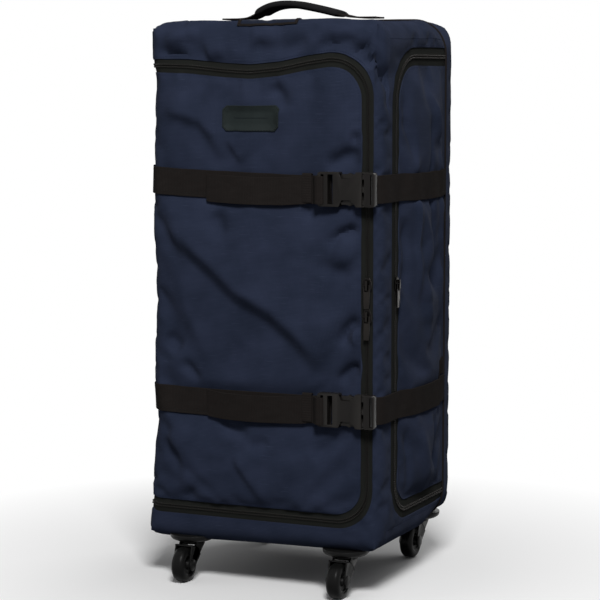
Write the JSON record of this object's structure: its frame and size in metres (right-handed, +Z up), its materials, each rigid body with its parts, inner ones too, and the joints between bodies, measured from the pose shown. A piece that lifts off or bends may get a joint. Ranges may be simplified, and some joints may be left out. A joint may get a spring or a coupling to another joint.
{
  "type": "rolling duffel bag",
  "caption": "Tall upright soft bag on swivel casters with a zipped front flap, a zipped side pocket, buckled compression straps, a carry handle and a telescopic trolley handle.",
  "frame": {"origin": "on the floor under the middle of the object's outline", "axes": "+Z up, +X to the right of the front, the front faces -Y"},
  "size_m": [0.3704, 0.363, 0.8265],
  "materials": {
    "navy_fabric": "woven polyester, matte",
    "lining": "plain lining cloth",
    "board": "stiff sheet",
    "zip_tape": "woven tape with a coil",
    "webbing": "ribbed webbing",
    "window": "clear film over black",
    "tube": "anodised",
    "black_plastic": "moulded, slightly glossy",
    "steel": "zinc plated",
    "rubber_patch": "moulded rubber",
    "gunmetal": "gunmetal",
    "tyre": "smooth polyurethane"
  },
  "bodies": {
    "bag": {"front_border": "navy_fabric", "left_side_panel": "navy_fabric", "right_side_panel": "navy_fabric", "top_panel": "navy_fabric", "bottom_panel": "navy_fabric", "back_panel": "navy_fabric", "pocket_liner": "lining", "back_board": "board", "bottom_board": "board", "main_zip_border_tape": "zip_tape", "pocket_zip_border_tape": "zip_tape", "left_side_straps": "webbing", "carry_handle_webbing": "webbing", "carry_handle_grip": "webbing", "id_window": "window", "trolley_outer_tubes": "tube", "trolley_bezel": "black_plastic", "caster_housings": "black_plastic", "housing_screws": "steel"},
    "flap": {"flap_panel": "navy_fabric", "main_zip_flap_tape": "zip_tape", "badge_patch": "rubber_patch", "upper_front_strap": "webbing", "lower_front_strap": "webbing", "strap_keepers": "webbing", "upper_buckle_socket": "black_plastic", "lower_buckle_socket": "black_plastic"},
    "side_pocket": {"pocket_panel": "navy_fabric", "pocket_zip_panel_tape": "zip_tape", "upper_side_strap": "webbing", "lower_side_strap": "webbing", "upper_buckle_clip": "black_plastic", "lower_buckle_clip": "black_plastic", "buckle_prongs": "black_plastic", "seam_label": "rubber_patch"},
    "trolley_handle": {"trolley_inner_tubes": "tube", "trolley_grip": "black_plastic"},
    "release_button": {"trolley_button": "gunmetal"},
    "upper_zip_slider": {"upper_slider": "gunmetal"},
    "lower_zip_slider": {"lower_slider": "gunmetal"},
    "pocket_zip_slider": {"pocket_slider": "gunmetal"},
    "upper_zip_pull": {"upper_pull": "gunmetal"},
    "lower_zip_pull": {"lower_pull": "gunmetal"},
    "pocket_zip_pull": {"pocket_pull": "gunmetal"},
    "front_left_swivel": {"front_left_fork": "black_plastic", "front_left_axle": "steel"},
    "front_left_wheel": {"front_left_hub": "black_plastic", "front_left_tyre": "tyre"},
    "front_right_swivel": {"front_right_fork": "black_plastic", "front_right_axle": "steel"},
    "front_right_wheel": {"front_right_hub": "black_plastic", "front_right_tyre": "tyre"},
    "back_left_swivel": {"back_left_fork": "black_plastic", "back_left_axle": "steel"},
    "back_left_wheel": {"back_left_hub": "black_plastic", "back_left_tyre": "tyre"},
    "back_right_swivel": {"back_right_fork": "black_plastic", "back_right_axle": "steel"},
    "back_right_wheel": {"back_right_hub": "black_plastic", "back_right_tyre": "tyre"}
  },
  "joints": [
    {"name": "flap_hinge", "type": "hinge", "parent": "bag", "child": "flap", "pos_m": [-0.18275, -0.1215, 0.42], "axis": [0, 0, -1], "range_deg": [0, 110], "deforming": ["buckle_prongs"]},
    {"name": "pocket_hinge", "type": "hinge", "parent": "bag", "child": "side_pocket", "pos_m": [0.17225, 0.0995, 0.42], "axis": [0, 0, 1], "range_deg": [0, 70], "deforming": ["buckle_prongs"]},
    {"name": "trolley_slide", "type": "slide", "parent": "bag", "child": "trolley_handle", "axis": [0, 0, 1], "range_m": [0, 0.3]},
    {"name": "button_press", "type": "slide", "parent": "trolley_handle", "child": "release_button", "axis": [0, 0, -1], "range_m": [0, 0.003], "stiffness_N_per_m": 600},
    {"name": "upper_slider_run", "type": "slide", "parent": "flap", "child": "upper_zip_slider", "axis": [0, 0, 1], "range_m": [0, 0.07]},
    {"name": "lower_slider_run", "type": "slide", "parent": "flap", "child": "lower_zip_slider", "axis": [0, 0, -1], "range_m": [0, 0.065]},
    {"name": "pocket_slider_run", "type": "slide", "parent": "side_pocket", "child": "pocket_zip_slider", "axis": [0, 0, 1], "range_m": [-0.1, 0.09]},
    {"name": "upper_pull_swing", "type": "hinge", "parent": "upper_zip_slider", "child": "upper_zip_pull", "pos_m": [0.15675, -0.15805, 0.4374], "axis": [-1, 0, 0], "range_deg": [0, 150]},
    {"name": "lower_pull_swing", "type": "hinge", "parent": "lower_zip_slider", "child": "lower_zip_pull", "pos_m": [0.15675, -0.15805, 0.3946], "axis": [-1, 0, 0], "range_deg": [0, 150]},
    {"name": "pocket_pull_swing", "type": "hinge", "parent": "pocket_zip_slider", "child": "pocket_zip_pull", "pos_m": [0.1768, -0.0925, 0.434], "axis": [0, -1, 0], "range_deg": [0, 150]},
    {"name": "front_left_swivel_turn", "type": "hinge", "parent": "bag", "child": "front_left_swivel", "pos_m": [-0.12525, -0.1275, 0.055], "axis": [0, 0, 1], "continuous": true},
    {"name": "front_left_wheel_roll", "type": "hinge", "parent": "front_left_swivel", "child": "front_left_wheel", "pos_m": [-0.12525, -0.1565, 0.025], "axis": [1, 0, 0], "continuous": true},
    {"name": "front_right_swivel_turn", "type": "hinge", "parent": "bag", "child": "front_right_swivel", "pos_m": [0.11475, -0.1275, 0.055], "axis": [0, 0, 1], "continuous": true},
    {"name": "front_right_wheel_roll", "type": "hinge", "parent": "front_right_swivel", "child": "front_right_wheel", "pos_m": [0.11475, -0.1565, 0.025], "axis": [1, 0, 0], "continuous": true},
    {"name": "back_left_swivel_turn", "type": "hinge", "parent": "bag", "child": "back_left_swivel", "pos_m": [-0.12525, 0.1485, 0.055], "axis": [0, 0, 1], "continuous": true},
    {"name": "back_left_wheel_roll", "type": "hinge", "parent": "back_left_swivel", "child": "back_left_wheel", "pos_m": [-0.12525, 0.1195, 0.025], "axis": [1, 0, 0], "continuous": true},
    {"name": "back_right_swivel_turn", "type": "hinge", "parent": "bag", "child": "back_right_swivel", "pos_m": [0.11475, 0.1485, 0.055], "axis": [0, 0, 1], "continuous": true},
    {"name": "back_right_wheel_roll", "type": "hinge", "parent": "back_right_swivel", "child": "back_right_wheel", "pos_m": [0.11475, 0.1195, 0.025], "axis": [1, 0, 0], "continuous": true}
  ]
}
